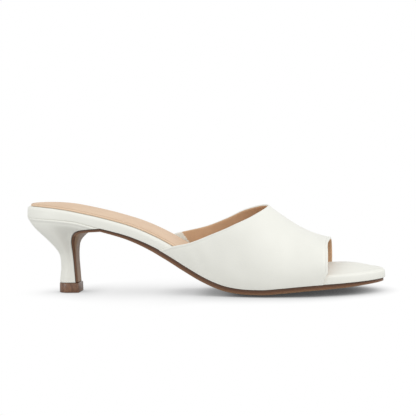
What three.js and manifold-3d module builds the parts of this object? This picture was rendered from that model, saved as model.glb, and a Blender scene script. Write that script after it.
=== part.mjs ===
// A right shoe for a woman: an open-toe mule with one wide band, on a low curved heel.
// Millimetres. x runs from the back of the heel to the toe, y from the outer side (negative)
// to the inner side (positive), and z is up from the floor.
import * as THREE from "three";
import { mergeVertices } from "three/addons/utils/BufferGeometryUtils.js";
import Module from "manifold-3d";

const wasm = await Module();
wasm.setup();

// Driving dimensions of the last.
const shoeLength = 239.6;
const ballWidth = 74;
const heelSeatWidth = 52;
const seatHeight = 51.4;
const toeSpring = 4.9;
const instepHeight = 57.8;
const instepSkew = 3;
const bandBulge = 1.6;
const bandSquareness = 2.05;
const frontSquareness = 3.2;

// Driving dimensions of the pieces.
const clearance = 0.3;
const soleEdge = 2.9;
const soleCrown = 1.8;
const soleMargin = 1;
const soleInset = 0.5;
const soleToe = 1.2;
const soleBevel = 0.6;
const flapThickness = 1.5;
const flapInset = 0.3;
const flapCrown = 0.4;
const footbedThickness = 7;
const footbedCrown = 1.8;
const footbedRollRadius = 2.4;
const sockThickness = 1.2;
const sockRollRadius = 0.96;
const sockFront = 0.78;
const upperWall = 1.9;
const upperFit = 0.4;
const neckBack = 21.9;
const neckWidth = 15;
const breastNeck = 31.4;
const breastFoot = 33;
const archHeight = 31.5;
const archBack = 12.5;
const archUp = 10;
const archDip = 0.9;
const wingReach = 54;
const cutMargin = 2;
const seatInset = 0.4;
const tipHeight = 6.5;
const tipOverhang = 0.3;
const tipFlare = 0.3;
const tipEdge = 0.5;

// Worked out from them.
const ballHalf = ballWidth / 2;
const seatHalf = heelSeatWidth / 2;
const neckHalf = neckWidth / 2;
const ballSeat = soleEdge + soleCrown + clearance;
const heelRise = seatHeight - ballSeat;

// Shares: how much of the sole's half width is level underneath, and how soon its crown is full;
// how much of a heel section is round, and where it is widest; how much of the arch the sole takes
// to narrow to the heel; where along the length the band grows squarer; and how far in from the rim
// a cushion's rings lie.
const levelShare = 0.5;
const crownGain = 1.4;
const roundShare = 0.7;
const widestAt = 0.45;
const narrowShare = 0.35;
const squareFrom = 0.74;
const squareTo = 0.85;
const cushionShares = [0.3, 0.65, 1];

// How finely the surfaces are cut.
const tiltReach = 0.5;
const slabSteps = 30;
const rollSteps = 3;
const heelSteps = 28;
const heelRoundSteps = 12;
const sideSteps = 3;
const soleSteps = 40;
const soleAcross = 12;
const archSteps = 16;
const seatSteps = 12;
const turnSteps = 44;
const lengthSteps = 14;

// Underside of the footbed: along is a share of the length, rise a share of the heel's rise above
// the ball, spring a share of the toe spring.
const PROFILE = [
  { along: 0.0, rise: 1.0, spring: 0 },
  { along: 0.059, rise: 0.991, spring: 0 },
  { along: 0.117, rise: 0.961, spring: 0 },
  { along: 0.167, rise: 0.914, spring: 0 },
  { along: 0.209, rise: 0.869, spring: 0 },
  { along: 0.25, rise: 0.817, spring: 0 },
  { along: 0.303, rise: 0.737, spring: 0 },
  { along: 0.356, rise: 0.625, spring: 0 },
  { along: 0.409, rise: 0.481, spring: 0 },
  { along: 0.462, rise: 0.31, spring: 0 },
  { along: 0.515, rise: 0.157, spring: 0 },
  { along: 0.568, rise: 0.047, spring: 0 },
  { along: 0.61, rise: 0, spring: 0 },
  { along: 0.67, rise: 0, spring: 0 },
  { along: 0.72, rise: 0, spring: 0.17 },
  { along: 0.8, rise: 0, spring: 0.52 },
  { along: 0.884, rise: 0, spring: 0.76 },
  { along: 1.0, rise: 0, spring: 1.0 },
];

// Outline from above: outer and inner are the two sides, 0 at the heel seat's half width and 1 at
// the ball's.
const OUTLINE = [
  { along: 0.0, outer: 0, inner: 0 },
  { along: 0.18, outer: 0, inner: -0.02 },
  { along: 0.3, outer: -0.09, inner: -0.17 },
  { along: 0.4, outer: -0.03, inner: -0.33 },
  { along: 0.5, outer: 0.25, inner: -0.3 },
  { along: 0.6, outer: 0.7, inner: 0.05 },
  { along: 0.68, outer: 1, inner: 0.62 },
  { along: 0.75, outer: 1.02, inner: 0.97 },
  { along: 0.8, outer: 1, inner: 1 },
  { along: 1.0, outer: 1, inner: 1 },
];

// How the outline closes at its two ends: start is where the round begins, power how full it is.
const HEEL_ROUND = { start: 0.14, power: 2.15 };
const TOE_ROUND = { start: 0.77, outerPower: 1.8, innerPower: 2.25 };

// Footbed: thick is its rim as a share of footbedThickness, crown how far its cushion stands over
// the rim as a share of footbedCrown.
const CUSHION = [
  { along: 0.0, thick: 1.06, crown: 1 },
  { along: 0.12, thick: 1.03, crown: 1 },
  { along: 0.3, thick: 0.91, crown: 1 },
  { along: 0.6, thick: 0.88, crown: 1.3 },
  { along: 0.85, thick: 0.82, crown: 2.5 },
  { along: 1.0, thick: 0.76, crown: 2.5 },
];

// Outsole: edge is a share of soleEdge, crown of soleCrown.
const SOLE = [
  { along: 0.2, edge: 0.8, crown: 0.3 },
  { along: 0.36, edge: 0.88, crown: 0.6 },
  { along: 0.5, edge: 1, crown: 0.9 },
  { along: 0.6, edge: 1, crown: 1 },
  { along: 0.7, edge: 1, crown: 1 },
  { along: 0.84, edge: 1, crown: 0.8 },
  { along: 0.92, edge: 0.85, crown: 0.6 },
  { along: 1.0, edge: 0.65, crown: 0.2 },
];

// Ridge of the instep above the floor, as a share of instepHeight.
const RIDGE = [
  { along: 0.35, height: 1.72 },
  { along: 0.434, height: 1.61 },
  { along: 0.51, height: 1.47 },
  { along: 0.592, height: 1.246 },
  { along: 0.634, height: 1.12 },
  { along: 0.6775, height: 1.0 },
  { along: 0.7025, height: 0.918 },
  { along: 0.73, height: 0.836 },
  { along: 0.764, height: 0.742 },
  { along: 0.787, height: 0.688 },
  { along: 0.81, height: 0.645 },
  { along: 0.837, height: 0.612 },
  { along: 0.86, height: 0.592 },
];

// Edges of the band: turn is the share of the quarter turn from the sole up to the ridge, and the
// other columns are places along the length, on the outer and inner side.
const BAND = [
  { turn: 0.0, outerBack: 0.39, innerBack: 0.362, outerFront: 0.832, innerFront: 0.836 },
  { turn: 0.08, outerBack: 0.434, innerBack: 0.402, outerFront: 0.8412, innerFront: 0.844 },
  { turn: 0.15, outerBack: 0.476, innerBack: 0.441, outerFront: 0.846, innerFront: 0.8485 },
  { turn: 0.25, outerBack: 0.5263, innerBack: 0.4971, outerFront: 0.8475, innerFront: 0.8495 },
  { turn: 0.37, outerBack: 0.5785, innerBack: 0.551, outerFront: 0.849, innerFront: 0.85 },
  { turn: 0.52, outerBack: 0.628, innerBack: 0.6005, outerFront: 0.8492, innerFront: 0.85 },
  { turn: 0.67, outerBack: 0.66, innerBack: 0.6396, outerFront: 0.8493, innerFront: 0.85 },
  { turn: 0.83, outerBack: 0.6775, innerBack: 0.668, outerFront: 0.8495, innerFront: 0.8498 },
  { turn: 1.0, outerBack: 0.6815, innerBack: 0.6815, outerFront: 0.8497, innerFront: 0.8497 },
];

// Heel block: height is a share of the seat height, and the spreads are 0 at the neck and 1 at the
// seat, for its back, its sides at their widest, and the edges of its front.
const HEEL = [
  { height: 0.0, back: 0.06, side: 0.02, breast: 0.02 },
  { height: 0.12, back: 0.05, side: 0.02, breast: 0.01 },
  { height: 0.23, back: 0.023, side: 0.01, breast: 0.0 },
  { height: 0.32, back: 0.0, side: 0.01, breast: 0.0 },
  { height: 0.435, back: 0.01, side: 0.04, breast: 0.0 },
  { height: 0.51, back: 0.05, side: 0.1, breast: 0.02 },
  { height: 0.576, back: 0.146, side: 0.19, breast: 0.05 },
  { height: 0.65, back: 0.297, side: 0.34, breast: 0.11 },
  { height: 0.745, back: 0.516, side: 0.56, breast: 0.24 },
  { height: 0.83, back: 0.73, side: 0.77, breast: 0.46 },
  { height: 0.88, back: 0.83, side: 0.87, breast: 0.68 },
  { height: 0.93, back: 0.913, side: 0.94, breast: 0.9 },
  { height: 1.0, back: 1.0, side: 1.0, breast: 1.0 },
  { height: 1.1, back: 1.05, side: 1.0, breast: 1.0 },
];

const white = new THREE.MeshStandardMaterial({ color: 0xf1efec, roughness: 0.5, metalness: 0 });
const tan = new THREE.MeshStandardMaterial({ color: 0xd6b296, roughness: 0.7, metalness: 0 });
const brown = new THREE.MeshStandardMaterial({ color: 0x6b5646, roughness: 0.4, metalness: 0 });
const tipBrown = new THREE.MeshStandardMaterial({ color: 0x4e3a2e, roughness: 0.25, metalness: 0 });

const mix = (from, to, share) => from + (to - from) * share;
const ease = (share) => share * share * (3 - 2 * share);
const clamp = (value, low, high) => Math.min(Math.max(value, low), high);
const shares = (count) => Array.from({ length: count + 1 }, (_, i) => i / count);
const quarter = Math.PI / 2;

// Value of a column on a smooth curve through the rows: a cubic between each two rows, whose slope
// at a row is the mean of its neighbours' and level where they turn.
function smooth(table, by, column, at) {
  const last = table.length - 1;
  if (at <= table[0][by]) return table[0][column];
  if (at >= table[last][by]) return table[last][column];
  const width = (row) => table[row + 1][by] - table[row][by];
  const step = (row) => (table[row + 1][column] - table[row][column]) / width(row);
  const slope = (row) => {
    if (row === 0) return step(0);
    if (row === last) return step(last - 1);
    const before = step(row - 1);
    const after = step(row);
    if (before * after <= 0) return 0;
    return (before * width(row) + after * width(row - 1)) / (width(row) + width(row - 1));
  };
  const row = table.findIndex((entry) => entry[by] > at) - 1;
  const part = (at - table[row][by]) / width(row);
  const rise = table[row + 1][column] - table[row][column];
  const early = slope(row) * width(row) * part * (1 - part) * (1 - part);
  const late = slope(row + 1) * width(row) * part * part * (1 - part);
  return table[row][column] + rise * ease(part) + early - late;
}

// Underside of the footbed on the centre line, and its slope.
function seatLine(x) {
  const along = x / shoeLength;
  const rise = smooth(PROFILE, "along", "rise", along);
  const spring = smooth(PROFILE, "along", "spring", along);
  return ballSeat + heelRise * rise + toeSpring * spring;
}
function seatTilt(x) {
  const before = clamp(x - tiltReach, 0, shoeLength);
  const after = clamp(x + tiltReach, 0, shoeLength);
  return Math.atan2(seatLine(after) - seatLine(before), after - before);
}

// A point of the last: x along the footbed's underside, y across it, and up square to it.
function onLast(x, y, up) {
  const tilt = seatTilt(x);
  return new THREE.Vector3(x - up * Math.sin(tilt), y, seatLine(x) + up * Math.cos(tilt));
}

// Half width of the footbed on its outer or inner side, with its round ends.
function outlineHalf(x, side) {
  const along = clamp(x / shoeLength, 0, 1);
  const power = side === "outer" ? TOE_ROUND.outerPower : TOE_ROUND.innerPower;
  const toHeel = clamp(1 - along / HEEL_ROUND.start, 0, 1);
  const toToe = clamp((along - TOE_ROUND.start) / (1 - TOE_ROUND.start), 0, 1);
  const heelEnd = (1 - toHeel ** HEEL_ROUND.power) ** (1 / HEEL_ROUND.power);
  const toeEnd = (1 - toToe ** power) ** (1 / power);
  return mix(seatHalf, ballHalf, smooth(OUTLINE, "along", side, along)) * heelEnd * toeEnd;
}

// Share of its full crown that a cushion has at a station: none where the outline closes.
const fullness = (x) => Math.min(outlineHalf(x, "outer"), outlineHalf(x, "inner")) / ballHalf;
const rimThickness = (x) => footbedThickness * smooth(CUSHION, "along", "thick", x / shoeLength);
const cushionCrown = (x) =>
  footbedCrown * smooth(CUSHION, "along", "crown", x / shoeLength) * fullness(x);

// Stations along a stretch that ends round: close together at both ends, or at the first only.
const roundedStations = (from, to, count) =>
  shares(count).map((share) => mix(from, to, (1 - Math.cos(share * Math.PI)) / 2));
const startedStations = (from, to, count) =>
  shares(count).map((share) => mix(from, to, 1 - Math.cos(share * quarter)));

// A geometry with its shared corners merged, without the faces that have no area, facing outwards.
function closed(corners) {
  const loose = new THREE.BufferGeometry();
  loose.setAttribute("position", new THREE.Float32BufferAttribute(corners, 3));
  const merged = mergeVertices(loose, 1e-3);
  const index = merged.index.array;
  const place = merged.attributes.position;
  const kept = [];
  let volume = 0;
  for (let i = 0; i < index.length; i += 3) {
    const [p, q, r] = index.slice(i, i + 3);
    if (p === q || q === r || r === p) continue;
    const [a, b, c] = [p, q, r].map((k) => new THREE.Vector3().fromBufferAttribute(place, k));
    volume += a.dot(b.cross(c));
    kept.push(p, q, r);
  }
  merged.setIndex(volume < 0 ? kept.reverse() : kept);
  return merged;
}

// A closed solid from rings of points: faces join each ring to the next, and each end is closed on
// the middle of its ring, or left to a ring that is already closed.
function ringSolid(rings, ended) {
  const corners = [];
  const face = (...points) => points.forEach((p) => corners.push(p.x, p.y, p.z));
  const sides = (ring, next) =>
    ring.forEach((p, j) => {
      const k = (j + 1) % ring.length;
      face(p, ring[k], next[k]);
      face(p, next[k], next[j]);
    });
  rings.slice(1).forEach((next, i) => sides(rings[i], next));
  if (ended) {
    [rings[0], [...rings[rings.length - 1]].reverse()].forEach((ring) => {
      const middle = new THREE.Vector3();
      ring.forEach((p) => middle.addScaledVector(p, 1 / ring.length));
      ring.forEach((p, j) => face(ring[(j + 1) % ring.length], p, middle));
    });
  }
  return closed(corners);
}

// A wall between two grids of points: both faces, and the strips along its four edges.
function wallSolid(outside, inside) {
  const corners = [];
  const face = (...points) => points.forEach((p) => corners.push(p.x, p.y, p.z));
  const quad = (a, b, c, d) => {
    face(a, b, c);
    face(a, c, d);
  };
  const rows = outside.length - 1;
  const columns = outside[0].length - 1;
  for (let i = 0; i < rows; i += 1) {
    for (let j = 0; j < columns; j += 1) {
      quad(outside[i][j], outside[i + 1][j], outside[i + 1][j + 1], outside[i][j + 1]);
      quad(inside[i][j + 1], inside[i + 1][j + 1], inside[i + 1][j], inside[i][j]);
    }
    quad(inside[i][0], inside[i + 1][0], outside[i + 1][0], outside[i][0]);
    quad(
      outside[i][columns],
      outside[i + 1][columns],
      inside[i + 1][columns],
      inside[i][columns],
    );
  }
  for (let j = 0; j < columns; j += 1) {
    quad(outside[0][j], outside[0][j + 1], inside[0][j + 1], inside[0][j]);
    quad(inside[rows][j], inside[rows][j + 1], outside[rows][j + 1], outside[rows][j]);
  }
  return closed(corners);
}

// The same shape as a solid that can be cut, and back.
function solidOf(geometry) {
  const mesh = new wasm.Mesh({
    numProp: 3,
    vertProperties: geometry.attributes.position.array,
    triVerts: new Uint32Array(geometry.index.array),
  });
  return new wasm.Manifold(mesh);
}
function geometryOf(solid) {
  const { vertProperties, triVerts } = solid.getMesh();
  const geometry = new THREE.BufferGeometry();
  geometry.setAttribute("position", new THREE.BufferAttribute(vertProperties, 3));
  geometry.setIndex(new THREE.BufferAttribute(triVerts, 1));
  return geometry;
}

// Height of the footbed's top above its underside, at a share of the way in from its rolled rim to
// the centre line.
const cushionTop = (x, inward) =>
  rimThickness(x) + cushionCrown(x) * (1 - (1 - inward) * (1 - inward));

// A slab on the last, between heights low and high above the footbed's underside, as rings around
// its outline: in from the edge below, up the edge, round its roll and in again above.
// inset is how far it keeps from the outline.
function slab({ inset, low, high, roll }) {
  const ends = roundedStations(0, shoeLength, slabSteps);
  const loop = [
    ...ends.map((x) => ({ x, y: -outlineHalf(x, "outer") })),
    ...[...ends].reverse().slice(1, -1).map((x) => ({ x, y: outlineHalf(x, "inner") })),
  ];
  const inward = loop.map((_, i) => {
    const before = loop[(i + loop.length - 1) % loop.length];
    const after = loop[(i + 1) % loop.length];
    const length = Math.hypot(after.x - before.x, after.y - before.y);
    return { x: -(after.y - before.y) / length, y: (after.x - before.x) / length };
  });
  const edgeRing = (distance, height) =>
    loop.map((p, i) => {
      const x = p.x + inward[i].x * distance;
      return onLast(x, p.y + inward[i].y * distance, height(x));
    });
  const innerRing = (share, height) =>
    loop.map((p, i) => {
      const middle = clamp(p.x, seatHalf, shoeLength - seatHalf);
      const centre = (outlineHalf(middle, "inner") - outlineHalf(middle, "outer")) / 2;
      const x = mix(p.x + inward[i].x * footbedRollRadius, middle, share);
      return onLast(x, mix(p.y + inward[i].y * footbedRollRadius, centre, share), height(x));
    });
  const turns = shares(rollSteps).map((share) => share * quarter);
  const across = (height) =>
    cushionShares.map((share) => innerRing(share, (x) => height(x, share)));
  return ringSolid(
    [
      ...across(low).reverse(),
      edgeRing(inset, (x) => low(x, 0)),
      ...turns.map((turn) =>
        edgeRing(inset + roll * (1 - Math.cos(turn)), (x) => high(x, 0) - roll * (1 - Math.sin(turn))),
      ),
      ...across(high),
    ],
    false,
  );
}

const makeFootbed = () => slab({ inset: 0, low: () => 0, high: cushionTop, roll: footbedRollRadius });

// The sock covers the footbed as far as sockFront, under the band.
function makeSock() {
  const whole = slab({
    inset: footbedRollRadius,
    low: (x, inward) => cushionTop(x, inward) + clearance,
    high: (x, inward) => cushionTop(x, inward) + clearance + sockThickness,
    roll: sockRollRadius,
  });
  const length = sockFront * shoeLength;
  const reach = new THREE.BoxGeometry(length, shoeLength, shoeLength);
  reach.translate(length / 2, 0, 0);
  const corners = Array.from(reach.toNonIndexed().attributes.position.array);
  return geometryOf(solidOf(whole).intersect(solidOf(closed(corners))));
}

// Heel block at a height: its back, and its half width, which spreads towards the seat above it.
const heelBack = (z) => neckBack * (1 - smooth(HEEL, "height", "back", z / seatHeight));
function heelSpread(x, z) {
  const height = (z + seatHeight - seatLine(x)) / seatHeight;
  const forward = (x - heelBack(z)) / (breastNeck - heelBack(z));
  const toBreast = ease(clamp((forward - widestAt) / (1 - widestAt), 0, 1));
  const side = smooth(HEEL, "height", "side", height);
  return mix(side, smooth(HEEL, "height", "breast", height), toBreast);
}
const heelHalf = (x, z) => mix(neckHalf, seatHalf - seatInset, heelSpread(x, z));

// A level section of the heel, round behind, with sides that follow the footbed's outline forward
// to a straight front. grow widens it all round.
function heelSection(z, front, grow) {
  const seatRound = HEEL_ROUND.start * shoeLength;
  const back = heelBack(z) - grow;
  const round = heelHalf(back, z) * mix(1, seatRound / seatHalf, heelSpread(back, z));
  const reach = Math.min(round, (front - back) * roundShare);
  const places = [
    ...startedStations(0, reach, heelRoundSteps),
    ...shares(sideSteps).slice(1).map((share) => mix(reach, front - back, share)),
  ];
  const halfAt = (depth, side) => {
    const matched = depth < reach ? (depth / reach) * seatRound : seatRound + depth - reach;
    return (outlineHalf(matched, side) * (heelHalf(back + depth, z) + grow)) / seatHalf;
  };
  const outer = places.map((d) => new THREE.Vector3(back + d, -halfAt(d, "outer"), z));
  const inner = places.map((d) => new THREE.Vector3(back + d, halfAt(d, "inner"), z));
  return [...outer, ...inner.reverse().slice(0, -1)];
}

// Top face of the outsole behind the waist: under the heel's wings, round the arch, then down the
// heel's front to its foot.
const flapFoot = tipHeight + clearance;
const archStart = new THREE.Vector2(wingReach, seatLine(wingReach) - clearance);
const archEnd = new THREE.Vector2(breastNeck, archHeight);
const archLine = new THREE.CubicBezierCurve(
  archStart,
  new THREE.Vector2(archStart.x - archBack, archStart.y - archDip),
  new THREE.Vector2(archEnd.x - clearance, archEnd.y + archUp),
  archEnd,
);
const breastLine = new THREE.LineCurve(archEnd, new THREE.Vector2(breastFoot, flapFoot));

// Half width of the outsole, wider where the band stands on it and closed a little before the toe.
function soleHalf(x, side) {
  const ramp = 0.04;
  const along = x / shoeLength;
  const bandStart = ease(clamp((along - BAND[0].outerBack) / ramp + 0.5, 0, 1));
  const bandEnd = ease(clamp((BAND[0].outerFront - along) / ramp + 0.5, 0, 1));
  const stretched = x * (shoeLength / (shoeLength - soleToe));
  const half = outlineHalf(stretched, side);
  return Math.max(half + mix(-soleInset, soleMargin, bandStart * bandEnd), 0) * clamp(half, 0, 1);
}

// One ring of the outsole: its top face at a place, away from the foot, with an edge and a
// crowned underside that is level in the middle.
function soleRing({ place, away, outer, inner, edge, crown }) {
  const across = shares(soleAcross).map((share) => mix(-1, 1, share));
  const bevel = Math.min(soleBevel, outer, inner);
  const point = (share, trim, down) => {
    const y = share * ((share < 0 ? outer : inner) - trim);
    return new THREE.Vector3(place.x + away.x * down, y, place.y + away.y * down);
  };
  const top = across.map((share) => point(share, 0, 0));
  const under = across.map((share) => {
    const past = clamp((Math.abs(share) - levelShare) / (1 - levelShare), 0, 1);
    return point(share, bevel, edge + crown * (1 - past * past));
  });
  return [...top, ...under.reverse()];
}

// The outsole's stations under the foot, from the toe to the waist.
function underfootStations() {
  return startedStations(shoeLength - soleToe, wingReach, soleSteps).map((x) => {
    const tilt = seatTilt(x);
    const up = onLast(x, 0, -clearance);
    const along = x / shoeLength;
    const full = clamp(fullness(x) * crownGain, 0, 1);
    return {
      place: new THREE.Vector2(up.x, up.z),
      away: new THREE.Vector2(Math.sin(tilt), -Math.cos(tilt)),
      outer: soleHalf(x, "outer"),
      inner: soleHalf(x, "inner"),
      edge: soleEdge * smooth(SOLE, "along", "edge", along),
      crown: soleCrown * smooth(SOLE, "along", "crown", along) * full,
    };
  });
}

// Its stations as the heel's flap, which narrows to the heel's width and thins all round the arch.
function flapStations() {
  const start = underfootStations().pop();
  const station = (curve, share, narrowed, thinned) => {
    const place = curve.getPoint(share);
    const tangent = curve.getTangent(share);
    const width = heelHalf(place.x, place.y) - flapInset;
    return {
      place,
      away: new THREE.Vector2(-tangent.y, tangent.x),
      outer: mix(start.outer, width, narrowed),
      inner: mix(start.inner, width, narrowed),
      edge: mix(start.edge, flapThickness - flapCrown, thinned),
      crown: mix(start.crown, flapCrown, thinned),
    };
  };
  const narrowing = (share) => ease(clamp(share / narrowShare, 0, 1));
  const round = shares(archSteps).map((share) =>
    station(archLine, share, narrowing(share), ease(share)),
  );
  const down = shares(sideSteps).map((share) => station(breastLine, share, 1, 1));
  return [...round.slice(1), ...down.slice(1)];
}

const makeOutsole = () =>
  ringSolid([...underfootStations(), ...flapStations()].map(soleRing), true);

// Side view of the heel block: the seat above, and the top of the sole's flap in front, each with
// the clearance between them.
function heelProfile() {
  const seat = shares(seatSteps).map((share) => {
    const p = onLast(mix(-cutMargin, wingReach, share), 0, -clearance);
    return new THREE.Vector2(p.x, p.z);
  });
  const front = flapStations().map(({ place, away }) =>
    place.clone().addScaledVector(away, -clearance),
  );
  const foot = new THREE.Vector2(breastFoot - clearance, flapFoot);
  return [new THREE.Vector2(-cutMargin, flapFoot), ...seat, ...front.slice(1, -1), foot];
}

function makeHeel() {
  const top = seatHeight + footbedThickness;
  const heights = shares(heelSteps).map((share) => mix(flapFoot, top, share));
  const front = wingReach + cutMargin * 2;
  const block = solidOf(ringSolid(heights.map((z) => heelSection(z, front, 0)), true));
  const outline = new THREE.Shape(heelProfile());
  const depth = heelSeatWidth * 2;
  const side = new THREE.ExtrudeGeometry(outline, { depth, bevelEnabled: false, steps: 1 });
  side.translate(0, 0, -depth / 2);
  side.rotateX(quarter);
  return geometryOf(block.intersect(solidOf(closed(Array.from(side.attributes.position.array)))));
}

// Heel tip: the heel's own section at its foot, out to the front of the sole's flap.
function makeTip() {
  const front = breastFoot + flapThickness + tipOverhang;
  const ring = (z, grow) =>
    heelSection(flapFoot, front + grow, grow).map((p) => new THREE.Vector3(p.x, p.y, z));
  const rings = [
    ring(0, tipFlare),
    ring(tipHeight - tipEdge, tipFlare / 2),
    ring(tipHeight, tipFlare / 2 - tipEdge),
  ];
  return ringSolid(rings, true);
}

// Band over the ball: turn runs from 0 at the sole on the outer side, over the ridge at 1, to 2 at
// the sole on the inner side. depth is how far inside the outer face. Towards its front edge the
// band is squarer across.
function bandPoint(x, turn, depth) {
  const angle = turn * quarter;
  const outer = outlineHalf(x, "outer") + upperFit + upperWall - depth;
  const inner = outlineHalf(x, "inner") + upperFit + upperWall - depth;
  const across = Math.cos(angle);
  const squarer = ease(clamp((x / shoeLength - squareFrom) / (squareTo - squareFrom), 0, 1));
  const power = 2 / mix(bandSquareness, frontSquareness, squarer);
  const rounded = Math.sign(across) * Math.abs(across) ** power;
  const low = seatLine(x);
  const ridge = instepHeight * smooth(RIDGE, "along", "height", x / shoeLength) - depth;
  const up = Math.abs(Math.sin(angle)) ** power;
  const y =
    (inner - outer) / 2 -
    ((inner + outer) / 2) * rounded -
    bandBulge * Math.sin(2 * angle) +
    instepSkew * Math.sin(angle) ** 2;
  return new THREE.Vector3(x, y, low + (ridge - low) * up);
}

function makeUpper() {
  const grid = (depth) =>
    shares(turnSteps).map((round) => {
      const turn = 2 * round;
      const rise = Math.min(turn, 2 - turn);
      const side = turn < 1 ? "outer" : "inner";
      const back = smooth(BAND, "turn", `${side}Back`, rise) * shoeLength;
      const front = smooth(BAND, "turn", `${side}Front`, rise) * shoeLength;
      return shares(lengthSteps).map((share) => bandPoint(mix(back, front, share), turn, depth));
    });
  return wallSolid(grid(0), grid(upperWall));
}

const pieces = {
  outsole: [makeOutsole(), brown],
  footbed: [makeFootbed(), white],
  sock: [makeSock(), tan],
  heel: [makeHeel(), white],
  heel_tip: [makeTip(), tipBrown],
  upper: [makeUpper(), white],
};

// The shoe, set with its origin under the middle of its box.
const shoe = new THREE.Group();
Object.entries(pieces).forEach(([name, [geometry, material]]) => {
  const mesh = new THREE.Mesh(geometry, material);
  mesh.name = name;
  shoe.add(mesh);
});
const box = new THREE.Box3().setFromObject(shoe);
const middle = box.getCenter(new THREE.Vector3());
shoe.position.set(-middle.x, -middle.y, -box.min.z);

const part = new THREE.Group();
part.add(shoe);

export default part;
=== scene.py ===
"""A right shoe: an open-toe mule with one wide band, on a low curved heel.

Shapes are worked out in millimetres on the last: x runs from the back of the heel to the toe, y from the
outer side (negative) to the inner side, z is up from the floor. Meshes are in metres, in the frame.
"""

import bmesh
import bpy
import numpy as np
from mathutils import Matrix, Vector


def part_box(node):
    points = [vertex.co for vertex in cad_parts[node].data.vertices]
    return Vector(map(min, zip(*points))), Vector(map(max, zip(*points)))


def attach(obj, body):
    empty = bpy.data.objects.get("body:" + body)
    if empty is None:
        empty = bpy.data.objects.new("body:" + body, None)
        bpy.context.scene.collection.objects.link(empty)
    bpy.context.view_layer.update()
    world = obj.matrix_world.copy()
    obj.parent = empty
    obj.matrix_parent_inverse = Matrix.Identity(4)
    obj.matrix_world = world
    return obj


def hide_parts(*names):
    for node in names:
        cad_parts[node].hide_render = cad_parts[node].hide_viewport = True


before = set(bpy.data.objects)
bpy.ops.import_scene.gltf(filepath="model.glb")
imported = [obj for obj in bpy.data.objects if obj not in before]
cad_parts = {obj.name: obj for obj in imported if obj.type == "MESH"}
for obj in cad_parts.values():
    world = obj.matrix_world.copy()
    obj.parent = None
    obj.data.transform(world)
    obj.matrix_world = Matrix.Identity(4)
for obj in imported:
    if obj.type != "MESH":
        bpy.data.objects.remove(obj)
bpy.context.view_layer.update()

MM = 0.001


def node_box(name):
    """Lowest and highest corners of a CAD node, in millimetres."""
    low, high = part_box(name)
    return np.array(low) / MM, np.array(high) / MM


# Sizes of the last and of the pieces on it, in millimetres.
footbed_low, footbed_high = node_box("footbed")
tip_low, tip_high = node_box("heel_tip")
SHOE_LENGTH = footbed_high[0] - footbed_low[0]
BALL_HALF = 37
SEAT_HALF = 26
SEAT_HEIGHT = 51.4
TOE_SPRING = 4.9
INSTEP_HEIGHT = 57.8
INSTEP_SKEW = 3
BAND_BULGE = 1.6
CLEARANCE = 0.3
COVER_GAP = 0.06
SOLE_EDGE = 2.9
SOLE_CROWN = 1.8
SOLE_MARGIN = 1
SOLE_INSET = 0.5
SOLE_TOE = 1.2
SOLE_BEVEL = 0.6
SOLE_BULGE = 0.12
PAINTED_MARGIN = 1.1
PAINTED_BLUR = 0.3
PAINTED_RIM = 0.16
FLAP_THICKNESS = 1.5
FLAP_INSET = 0.3
FLAP_CROWN = 0.4
FOOTBED_THICKNESS = 7
FOOTBED_CROWN = 1.8
FOOTBED_ROLL = 2.4
FOOTBED_SHARP = 0.3
SOCK_THICKNESS = 1.2
SOCK_ROLL = 0.96
SOCK_SHARP = 0.1
WALL = 1.9
FIT = 0.4
TUCK = 1.15
TUCK_RISE = 13
TUCK_RISE_BACK = 22
FRONT_GROOVE = 0.22
BACK_GROOVE = 0.12
GROOVE_AT = 2
GROOVE_WIDTH = 0.6
BEAD = 0.12
BEAD_WIDTH = 1.1
TAIL_FOLD = 102.5
TAIL_TOP = 37.6
NECK_BACK = 21.9
NECK_HALF = 7.5
BREAST_NECK = 31.4
BREAST_FOOT = 33
ARCH_HEIGHT = 31.5
ARCH_BACK = 15
ARCH_UP = 12
ARCH_SWELL = 2.3
ARCH_DIP = 0.9
WING_REACH = 54
HEEL_PAST_WINGS = 4
SEAT_INSET = 0.4
COVER_FADE = 3
TIP_HEIGHT = tip_high[2] - tip_low[2]
TIP_OVERHANG = 0.3
TIP_FLARE = 0.3
TIP_BEVEL = 0.45

# The last's heel end and centre line, in the frame.
ORIGIN = np.array([footbed_low[0], (tip_low[1] + tip_high[1]) / 2, 0])

# Worked out from them.
BALL_SEAT = SOLE_EDGE + SOLE_CROWN + CLEARANCE
HEEL_RISE = SEAT_HEIGHT - BALL_SEAT
FLAP_FOOT = TIP_HEIGHT + CLEARANCE

# Shares of a length, a width or a turn, and powers, slopes and an angle, that shape the pieces.
LEVEL_SHARE = 0.5
CROWN_GAIN = 1.4
SOLE_RAMP = 0.04
TOE_SOFTNESS = 0.9
TOE_SOFT_FROM = 0.84
SOCK_FRONT = 0.78
NARROW_SHARE = 0.35
SWELL_START = 0.18
SWELL_END = 1.24
SWELL_FALL = 0.5
ROUND_SHARE = 0.7
WIDEST_AT = 0.45
TIP_CORNER = np.radians(40)
BAND_SQUARENESS = 2.05
FRONT_SQUARENESS = 3.2
SQUARE_FROM = 0.74
SQUARE_TO = 0.85
TUCK_FROM = 0.45
TUCK_OVER = 0.15
CREASE_FADE = 0.3
INNER_CREASES = 0.7
LEAST_RUN = 0.35
TAIL_SLANT = 0.7

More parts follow.
